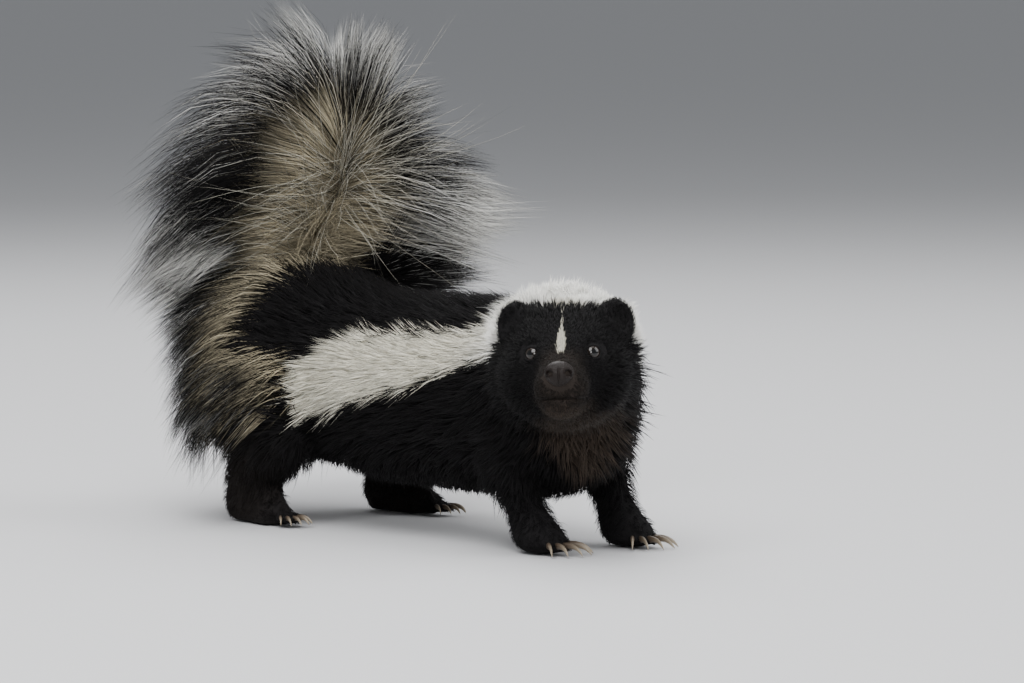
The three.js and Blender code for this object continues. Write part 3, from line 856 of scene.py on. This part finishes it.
def body_coat(skin):
    def furred(points):
        return 1 - np.maximum(np.maximum(headness(points), limbness(points)), tailness(points))

    def dark(points):
        return furred(points) * (1 - whiteness(points))

    def pale(points):
        return furred(points) * whiteness(points) * (1 + ramp(-80, -100, points[:, 1]))

    for name, weight, slope in (("dark", dark, 30), ("pale", pale, 28)):
        root, normal = roots_on(skin, COUNT[name], weight)
        order = np.argsort(root[:, 1])
        root, normal = root[order], normal[order]
        y, z = root[:, 1], root[:, 2]
        length = coat_depth(root) * (3 - 1.3 * ramp(-72, -94, y) * ramp(110, 125, z))
        lift = slope + 22 * ramp(-0.1, -0.7, normal[:, 2])
        lie = lie_of(root, normal)
        if name == "pale":
            foot = np.interp(y, *STRIPE_FOOT)
            height = np.clip((z - foot) / (np.interp(y, *STRIPE_TOP) - foot), 0, 1)
            length = length * (1 + 0.6 * ramp(40, 85, y) * (1 - height))
            rising = ramp(-60, -30, y) * (1 - ramp(30, 75, y) * ramp(0.2, 0.5, height))
            lie = across(lie + UP * (rising * (height - 0.35) * 0.9)[:, None], normal)
        fur_in_pieces(f"coat_{name}", 2, np.full(len(root), WIDE[name]), root, normal, lie, length, lift,
                      hair_colours(root), body_unwrap(root), clump=0.32)


def nape_coat(skin):
    """The crest of white fur that stands up behind the brow and the ears."""
    def weight(points):
        ahead, left, above = head_place(points)
        crown = ramp(-66, -56, ahead) * ramp(-10, 0, above)
        behind_ear = 1 + 2 * ramp(20, 30, np.abs(left))
        return whiteness(points) * crown * (ahead < -20) * (1 - in_ear(points)) * behind_ear

    root, normal = roots_on(skin, COUNT["nape"], weight)
    ahead, left, _ = head_place(root)
    beside_ear = ramp(18, 32, np.abs(left))
    outward = np.sign(left)[:, None] * LEFT * beside_ear[:, None]
    lie = across(TOP * 0.6 + outward * 0.9 - FACING * (0.55 - 0.35 * beside_ear)[:, None], normal)
    shoulder = ramp(8, 20, np.abs(left))
    length = 9.5 + 3 * beside_ear + 4 * shoulder + 3 * ramp(4, -16, left) - 1.5 * ramp(0, 10, left)
    length = length * ramp(-16, -26, ahead)
    lift = 38 + 12 * beside_ear + 16 * shoulder
    colours = coat_colours(root, np.ones(len(root)))
    fur("coat_nape", root, normal, lie, length, lift, colours, body_unwrap(root), WIDE["nape"], stray=0.14)


def head_coat(skin):
    def weight(points):
        ahead = head_place(points)[0]
        bare = headness(points) * (1 + 1.5 * ramp(-30, 0, ahead) + 1.2 * whiteness(points))
        for side in SIDES.values():
            place = (points - eye_centre(side)) @ gaze_axes(side).T
            off = size_of(place[:, 1:]) + 20 * (place[:, 0] < 0)
            bare = bare * ramp(EYE_RADIUS - 0.2, EYE_RADIUS + 1.2, off)
        nose = size_of((points - on_head(27.5, 0, -13)) / np.array([8, 9.5, 8.5]))
        return bare * (nose > 1)

    root, normal = roots_on(skin, COUNT["head"], weight)
    order = np.argsort(root @ LEFT)
    root, normal = root[order], normal[order]
    depth, ear, white = coat_depth(root), in_ear(root), whiteness(root)
    ahead, _, above = head_place(root)
    back = ramp(-20, -40, ahead)
    jowl = ramp(2, -18, ahead) * ramp(4, -12, above)
    length = np.clip(depth * (2.9 - 0.5 * white * back + 0.9 * (1 - white) * back), 3.0, 26)
    length = length * (1 + 0.15 * ear) + 7 * jowl
    lift = 26 + 8 * back + 4 * back * white + 6 * ear + 16 * jowl
    lie = blend(lie_of(root, normal), across(TOP, normal), ear * 0.8)
    tone = (0.62 + 0.38 * white) * varied(len(root), 0.3 * (1 - white), 0.3, 1.8)
    colours = hair_colours(root) * tone[:, None]
    fur_in_pieces("coat_head", 2, 0.19 + 0.025 * depth, root, normal, lie, length, lift,
                  colours, head_unwrap(root), clump=0.3)


def limb_coat(skin):
    root, normal = roots_on(skin, COUNT["limbs"], lambda points: limbness(points) * (points[:, 2] > 2.5))
    depth = coat_depth(root)
    toes = ramp(12, 7, root[:, 2])
    lie = blend(lie_of(root, normal), across(np.array([0, -1.0, -0.3]), normal), toes)
    length = np.clip(depth * 3.1 * (1 + 0.2 * rng.normal(size=len(root))), 3.6, 26)
    fur("coat_limbs", root, normal, lie, length, 28 + 8 * ramp(15, 40, root[:, 2]),
        hair_colours(root), limb_unwrap(root), 0.24 + 0.03 * depth)


# Tail: long hair that spreads from the tail's flesh in many fine locks, parted down the front

TAIL_LOCKS = 900
TAIL_HAIRS = 24 # in each lock
PLUME = 6 # locks that lean together
GOLDEN_TURN = 2.39996 # from one lock to the next round the tail
FRONT = np.array([-0.62, -0.785, 0])
ASIDE = np.cross(UP, FRONT) # to the right as the camera sees it
PARTING = {"left": math.radians(70), "right": math.radians(84)} # sides as the camera sees them

# At each share of the tail's length, for the hair that falls to the left and to the right: how far
# it leans from upright in degrees, how far it bows, and how long it is
HAIR_AT = [0, 0.2, 0.35, 0.55, 0.68, 0.78, 0.85, 0.91, 0.96, 1]
HAIR_LEAN = (
    [100, 101, 102, 103, 101, 92, 78, 60, 40, 22],
    [76, 81, 89, 93, 89, 83, 72, 50, 26, 2],
)
HAIR_BOW = (
    [0.55, 0.6, 0.68, 0.8, 0.84, 0.84, 0.85, 0.8, 0.5, 0.1],
    [0.1, 0, -0.1, -0.2, 0.15, 0.3, 0.45, 0.5, 0.3, 0.1],
)
HAIR_LENGTH = (
    [78, 88, 98, 118, 130, 132, 130, 124, 112, 94],
    [84, 88, 96, 122, 128, 92, 78, 82, 95, 97],
)


def on_tail(share):
    """The middle of the tail's flesh at each share of its length."""
    index = share * (len(TAIL_LINE) - 1)
    steps = np.arange(len(TAIL_LINE))
    return np.stack([np.interp(index, steps, TAIL_LINE[:, k]) for k in range(3)], axis=1)


def round_tail(angle):
    """The way straight out from the tail, at angles from its front."""
    return FRONT * np.cos(angle)[:, None] + ASIDE * np.sin(angle)[:, None]


def for_side(table, share, right):
    """Reads a table of the tail's hair, between its left and right rows."""
    left_value, right_value = (np.interp(share, HAIR_AT, row) for row in table)
    part = ramp(-0.7, 0.7, right)
    return left_value * (1 - part) + right_value * part


def streams(angle, share, seed):
    """A smooth field of about -1 to 1 round and along the tail, so that whole streams of hair differ."""
    draw = np.random.default_rng(seed)
    total = 0
    for turns in (2, 3, 5, 7):
        total = total + np.sin(turns * angle + draw.uniform(-14, 14) * share + draw.uniform(0, 6.3))
    return total / 2.4


def tail_coat():
    locks = TAIL_LOCKS
    share = ((np.arange(locks) + 0.5) / locks) ** 0.85
    turn = (np.arange(locks) * GOLDEN_TURN + rng.uniform(0, 0.5, locks)) % (2 * np.pi) - np.pi
    of_lock = rng.uniform(-1, 1, (4, locks))
    lock_wave = rng.normal(size=(locks, 3))
    lock = np.repeat(np.arange(locks), TAIL_HAIRS)
    count = len(lock)
    stray = rng.normal(size=(4, count)).clip(-2, 2)
    lock_lean, lock_bow, lock_sag, lock_long = of_lock[:, lock]
    share = np.clip(share[lock] + 0.018 * stray[0], 0.004, 0.998)
    angle = np.sign(turn[lock]) * np.abs(turn[lock] + 0.15 * stray[1])
    parting = np.where(angle > 0, PARTING["right"], PARTING["left"]) * (1 - 0.3 * share)
    parted = np.sign(angle) * (parting + (np.pi - parting) * np.abs(angle) / np.pi)
    parted = parted + 0.13 * streams(angle, share, 1)
    away = round_tail(parted)
    right = np.sin(parted)
    lean = for_side(HAIR_LEAN, share, right) + 10 * streams(angle, share, 2) + 9 * lock_lean + 4 * stray[2]
    lean = np.radians(lean)
    heading = UP * np.cos(lean)[:, None] + away * np.sin(lean)[:, None]
    outward = UP * np.sin(lean)[:, None] - away * np.cos(lean)[:, None]
    bow = for_side(HAIR_BOW, share, right) + 0.16 * streams(angle, share, 3)
    bow = bow + 0.1 * lock_bow + 0.05 * stray[3]
    sag = (0.06 + 0.06 * lock_sag) * np.sin(lean) * ramp(0, 0.3, share)
    long = for_side(HAIR_LENGTH, share, right) * (0.98 + 0.07 * streams(angle, share, 4) + 0.13 * lock_long)
    long = long * (1.04 - 0.34 * rng.uniform(size=count))
    root = on_tail(share) + round_tail(angle) * (TAIL_BONE * (1 - 0.6 * share) * 0.85)[:, None]
    t = np.linspace(0, 1, 5)
    wave = (2.4 * rng.normal(size=(count, 1, 3)) + 4.5 * lock_wave[lock][:, None]) * (t**2)[:, None]
    paths = (straight(root, heading, long, t)
             + (outward * bow[:, None])[:, None] * (long[:, None] * t * (1 - t))[..., None] + wave)
    paths[..., 2] -= sag[:, None] * t**2 * long[:, None]
    guides = paths.reshape(locks, TAIL_HAIRS, len(t), 3).mean(axis=1)
    plume = nearest(guides[::PLUME, -2], guides[:, -2])
    at_lock = share[::TAIL_HAIRS]
    together = 0.55 + 0.25 * ramp(0.8, 0.95, at_lock)
    together = together + 0.2 * ramp(0.4, 0.5, at_lock) * ramp(0.76, 0.7, at_lock)
    guides = guides + (guides[::PLUME][plume] - guides) * together[:, None, None] * (t**1.5)[:, None]
    paths = clear_of_body(drawn_to(guides[lock], paths, 0.66 * t**1.2))
    colours = tail_colours(share, right, t, lock)
    flat = unit(rng.normal(size=(count, 3)))
    unwrap = np.stack([angle, share], axis=1)
    for name, part in in_pieces("coat_tail", count, 4):
        strands(name, paths[part], WIDE["tail"], WIDE["tail"] * 0.7, flat[part], colours[part],
                unwrap[part])


def tail_colours(share, right, t, lock):
    """Tan at the root, then black, and white at the tip of some, with no black in a few.

    The tuft on the right turns white early, the lobe is black, and drooping hair has white ends.
    """
    count = len(share)
    draw, other = (0.5 * rng.uniform(size=TAIL_LOCKS)[lock] + 0.5 * rng.uniform(size=count) for _ in range(2))
    end, to_right = ramp(0.86, 1, share), ramp(-0.2, 0.7, right)
    pale = draw < 0.09 + (0.04 + 0.07 * to_right) * ramp(0.7, 0.9, share) + 0.17 * to_right + 0.1 * end
    falling = ramp(0.4, 0.55, share) * ramp(0.86, 0.76, share) * (1 - to_right)
    high = ramp(0.62, 0.8, share) * ramp(0.96, 0.88, share) * (1 - to_right)
    tipped = other < 0.38 + 0.16 * end + 0.08 * falling - 0.12 * to_right * (1 - end) - 0.2 * high
    tan_end = 0.38 - 0.08 * to_right - 0.08 * end + 0.05 * rng.normal(size=count)
    white_from = 0.84 - 0.02 * to_right - 0.2 * end + 0.05 * rng.normal(size=count)
    tuft = ramp(0.5, 0.57, share) * ramp(0.74, 0.69, share) * ramp(0.1, 0.6, right) > rng.uniform(size=count)
    lobe = (share < 0.2 + 0.03 * rng.normal(size=count)) & (right > 0.1)
    drooping = ramp(0.24, 0.32, share) * ramp(0.5, 0.43, share) * ramp(-0.5, -0.8, right)
    drooping = drooping > rng.uniform(size=count)
    tan_end = np.select([lobe, tuft, pale], [-1.0, 0.3, 2.0], tan_end * (0.7 + 0.3 * ramp(0, 0.3, share)))
    kinds = [lobe & (other > 0.2), tuft, pale, drooping, tipped | lobe]
    white_from = np.select(kinds, [2.0, 0.5, 0.5, 0.72, white_from], 2.0)
    dark = ramp(-0.06, 0.06, t[None] - tan_end[:, None])
    light = ramp(-0.06, 0.06, t[None] - white_from[:, None])
    colour = blend(TAN, BLACK, dark)
    # The white tips carry painted shade: they are darkened for the shadow among the tail's sparse hair.
    colour = blend(colour, np.array(WHITE) * TAIL_TIP_PAINTED_SHADE, light)
    tone = np.where(other > 0.7, 0.35, 1 - 0.36 * to_right + 0.38 * tuft - 0.1 * end)
    tone = np.maximum(tone, 1.2 * drooping) + 0.2 * rng.normal(size=count)
    # Painted shade: each hair is darkened towards its root, for the shade deep inside the plume.
    root_shade = np.clip(0.6 + 1.2 * t, 0, 1)[:, None]
    return np.clip(colour * tone[:, None, None] * root_shade, 0, 1)


def tail_skirt(skin):
    """Hair on the rump round the tail's root, which hangs back and down over the hips."""
    def at_front(points):
        place = points - TAIL_LINE[0] - UP * 6
        near = ramp(56, 38, size_of(place)) * (place @ FRONT > -8)
        return near * ramp(20, 8, place @ VIEW_RIGHT) * ramp(136, 124, points[:, 2])

    def weight(points):
        y, z = points[:, 1], points[:, 2]
        flank = ramp(90, 104, y + 0.3 * (z - 85)) * ramp(64, 74, z) * ramp(108, 96, z)
        rump = ramp(132, 150, y) * ramp(100, 116, z)
        return np.maximum((flank + rump) * (1 - tailness(points)), 1.6 * at_front(points))

    root, normal = roots_on(skin, COUNT["skirt"], weight)
    count = len(root)
    sideways = np.clip(root[:, 0] / 40, -1, 1)
    low = ramp(122, 104, root[:, 2])
    front = at_front(root)[:, None]
    hang = np.stack([(0.9 - 0.3 * low) * sideways, 0.75 + 0 * low, -0.2 - 0.3 * low], axis=1)
    hang = hang * (1 - front) + (FRONT * 0.1 - VIEW_RIGHT * 0.8 - UP * 0.2) * front
    lock, shared = locks_of(root, LOCK, 0.2)
    lie = across(hang + shared + 0.1 * rng.normal(size=(count, 3)), normal)
    long = (68 - 14 * low) * varied(count, 0.16, 0.5, 1.3)
    rise = np.radians(36) * varied(count, 0.2, 0.3, 1.6)
    t = np.linspace(0, 1, 4)
    paths = (root[:, None] + lie[:, None] * (long * np.cos(rise))[:, None, None] * t[:, None]
             + normal[:, None] * (long * np.sin(rise))[:, None, None] * (t - 0.45 * t**2)[:, None])
    paths[..., 2] -= 0.22 * long[:, None] * t**2
    paths = drawn_to(paths[::LOCK][lock], paths, 0.5 * t**1.2)
    paths[..., 2] = np.maximum(paths[..., 2], SKIRT_FLOOR)
    colours = tail_colours(np.full(count, 0.3), np.full(count, -0.5), t, lock)
    dark = rng.uniform(size=count) < 0.24 + 0.06 * low - 0.12 * front[:, 0]
    colours = colours * np.where(dark, 0.05, 0.78)[:, None, None]
    strands("coat_skirt", paths, WIDE["skirt"], THICK["skirt"], normal, colours,
            body_unwrap(root))


def tail_lobe(skin):
    """Black hair from the root of the tail, which sweeps up across the foot of its right side."""
    middle = TAIL_LINE[0] + UP * 6

    def weight(points):
        place = points - middle
        low = ramp(132, 122, points[:, 2])
        return ramp(46, 30, size_of(place)) * (place @ FRONT > -6) * ramp(2, 14, place @ VIEW_RIGHT) * low

    root, normal = roots_on(skin, COUNT["lobe"], weight)
    count = len(root)
    lock, shared = locks_of(root, LOCK, 0.24)
    heading = VIEW_RIGHT * 0.86 + UP * 0.3 + FRONT * 0.1 + shared
    heading = unit(heading + 0.07 * rng.normal(size=(count, 3)))
    long = 58 * varied(count, 0.36, 0.3, 1.5)
    t = np.linspace(0, 1, 4)
    paths = straight(root, heading, long, t)
    paths += normal[:, None] * (14 * t * (1 - t))[:, None]
    paths = clear_of_body(drawn_to(paths[::LOCK][lock], paths, 0.4 * t**1.2))
    tipped = ramp(0.7, 0.8, t)[None] * (rng.uniform(size=count) < 0.16)[:, None]
    # The white tips carry painted shade: they are darkened for the shadow among the tail's sparse hair.
    colours = blend(BLACK, np.array(WHITE) * TAIL_TIP_PAINTED_SHADE, tipped)
    strands("coat_lobe", paths, WIDE["lobe"], THICK["lobe"], normal, colours, body_unwrap(root))


def tail_strays():
    """Single fine hairs that curl across the locks, and short tan ones that cover the parting."""
    count = COUNT["strays"]
    short = np.arange(count) % 5 < 3
    toward = rng.uniform(-1.1, 1.1, count)
    share = np.where(short, rng.uniform(0.02, 0.7, count), rng.uniform(0.3, 0.97, count))
    share = np.where((toward > 0.1) & ~short, 0.5 + 0.5 * share, share)
    heading = unit(FRONT * 0.5 + ASIDE * toward[:, None] + UP * rng.uniform(-0.3, 0.7, count)[:, None])
    curl = UP * rng.uniform(-0.45, 0.45, count)[:, None] + ASIDE * rng.uniform(-0.4, 0.4, count)[:, None]
    curl = curl * (1 + short)[:, None]
    long = np.where(short, rng.uniform(16, 38, count), rng.uniform(45, 95, count))
    wave = unit(rng.normal(size=(count, 3))) * (0.035 * long)[:, None]
    phase = rng.uniform(0, 6.3, count)[:, None]
    t = np.linspace(0, 1, 8)
    root = on_tail(share) + FRONT * (TAIL_BONE * 0.6 * short)[:, None]
    paths = (straight(root, heading, long, t)
             + curl[:, None] * (long[:, None] * t**2)[..., None]
             + wave[:, None] * (np.sin(5 * t + phase) * t)[..., None])
    shade = np.where(rng.uniform(size=count) < 0.4, 0.06, 0.6)[:, None, None]
    tan_shade = rng.uniform(0.3, 0.9, count)[:, None, None]
    colours = np.where(short[:, None, None], np.array(TAN) * tan_shade, np.array(CREAM) * shade)
    colours = np.broadcast_to(colours, (count, len(t), 3))
    strands("coat_strays", paths, WIDE["strays"], THICK["strays"], np.cross(heading, curl), colours,
            np.stack([toward, share], axis=1))


RUMP = (
    ((0, 138, 92), (66, 69, 60)), ((0, 56, 82), (60, 90, 58)),
    ((45, 132, 74), (33, 53, 51)), ((-45, 132, 74), (33, 53, 51)),
)


def clear_of_body(paths):
    """Lifts hair that would run into the rump, more so towards its tips."""
    free = ramp(0, 0.5, np.linspace(0, 1, paths.shape[1]))[None, :, None]
    for centre, radii in RUMP:
        place = (paths - np.array(centre)) / np.array(radii)
        reach = size_of(place)[..., None]
        push = np.where(reach > 0.5, np.maximum(1 / np.maximum(reach, 0.5) - 1, 0), 0)
        paths = paths + place * np.array(radii) * push * free
    return paths


# Eyes, nose and claws

PUPIL = (0.002, 0.002, 0.002)
IRIS = (0.012, 0.007, 0.004)
EYE_RIM = (0.006, 0.005, 0.005)
CLAW_ROOT = (0.07, 0.05, 0.035)
CLAW_TIP = (0.3, 0.25, 0.18)
CLAW_SIDES = 12


def make_eye(name, side):
    axes = gaze_axes(side)
    points, faces = ball(eye_centre(side), (EYE_RADIUS,) * 3, axes, 40, 28, 0.01)
    eye = new_object(name, points, faces)
    out = (points - eye_centre(side)) @ axes.T / EYE_RADIUS
    off = np.hypot(out[:, 1], out[:, 2]) + 2 * (out[:, 0] < 0)
    colour = blend(blend(PUPIL, IRIS, ramp(0.36, 0.42, off)), EYE_RIM, ramp(0.78, 0.86, off))
    painted(eye, colour, EYE)
    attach(eye, "root")
    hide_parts(name)


def make_nose():
    nose = remeshed("nose_pad", *solids_of(["nose"]), NOSE_VOXEL)
    points = places(nose.data)
    ahead, left, above = head_place(points)
    points = smoothed(points, edges_of(nose.data), 7, 0.5)
    narrow = 1 - 0.2 * ramp(-11, -20, above)
    points = points + LEFT * (left * (narrow - 1))[:, None]
    groove = np.exp(-((left / 0.55) ** 2)) * ramp(-8, -13, above) * ramp(26, 29, ahead)
    points = points - FACING * (0.8 * groove)[:, None]
    set_places(nose.data, points)
    nose.data.materials.clear()
    nose.data.materials.append(NOSE_SKIN)
    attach(nose, "root")
    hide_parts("nose")


def make_claws():
    parts, colours = [], []
    for claw in claw_lines():
        t = np.linspace(0, 1, len(claw["line"]))
        size = claw["thick"] / 2 * (1 - 0.75 * t) * np.sqrt(np.clip((1.02 - t) / 0.2, 0.05, 1))
        parts.append(swept(claw["line"], size * 0.8, size * 1.25, CLAW_SIDES))
        along = np.concatenate([[0], np.repeat(t, CLAW_SIDES), [1]])
        colours.append(blend(CLAW_ROOT, CLAW_TIP, ramp(0.1, 1, along)))
    claws = new_object("claws", *joined(parts))
    painted(claws, np.vstack(colours), CLAW)
    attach(claws, "root")


# Floor and lights

FLOOR_HALF = 40 # in metres, as are the lamps' places and sizes
LAMPS_AIM = (0, 0, 0.15)
LAMPS = { # the place, size and power of each
    "key": ((-1.4, -1.0, 2.2), 2.0, 95),
    "fill": ((1.9, -1.3, 1.5), 2.0, 40),
    "rim": ((0.8, 1.7, 2.1), 1.5, 40),
    "sky": ((0, 0.2, 2.7), 2.4, 52),
}


def light(name, place, aim, size, power):
    lamp = linked(name, bpy.data.lights.new(name, "AREA"))
    lamp.data.size = size
    lamp.data.energy = power
    lamp.location = place
    lamp.rotation_euler = (Vector(aim) - Vector(place)).to_track_quat("-Z", "Y").to_euler()


def studio():
    floor = linked("floor", bpy.data.meshes.new("floor"))
    corners = [(FLOOR_HALF * x, FLOOR_HALF * y, 0) for x, y in ((-1, -1), (1, -1), (1, 1), (-1, 1))]
    floor.data.from_pydata(corners, [], [(0, 1, 2, 3)])
    made, tree, shader = material("floor", (0.55, 0.55, 0.56), 0.85)
    bumped(tree, shader, noise(tree, 60, 4), 0.05, 0.002)
    floor.data.materials.append(made)
    floor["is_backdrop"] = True
    world = bpy.data.worlds.new("studio")
    bpy.context.scene.world = world
    world.use_nodes = True
    background = world.node_tree.nodes["Background"]
    background.inputs["Color"].default_value = (0.93, 0.96, 1, 1)
    background.inputs["Strength"].default_value = 0.36
    for name, (place, size, power) in LAMPS.items():
        light(name, place, LAMPS_AIM, size, power)
    head = EYES_MIDDLE * MM + SHIFT
    light("catch", head + BACK * 2.0 + VIEW_UP * 0.35, head, 0.65, 13)


skin = make_skin()
skin_points = places(skin.data)
skin_white = whiteness(skin_points)
skin_colour = coat_colours(skin_points, skin_white) * (1 - 0.3 * skin_white)[:, None]
painted(skin, blend(skin_colour, np.array(TAN) * 0.3, tailness(skin_points)), SKIN)
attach(skin, "root")
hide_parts(*FLESH, "tail")
body_coat(skin)
head_coat(skin)
limb_coat(skin)
nape_coat(skin)
tail_coat()
tail_skirt(skin)
tail_lobe(skin)
tail_strays()
for name, side in SIDES.items():
    make_eye(f"eye_{name}", side)
make_nose()
make_claws()
studio()

boxes = {"cad": cad_box, "visual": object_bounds()}
{name: [list(low), list(high)] for name, (low, high) in boxes.items()}
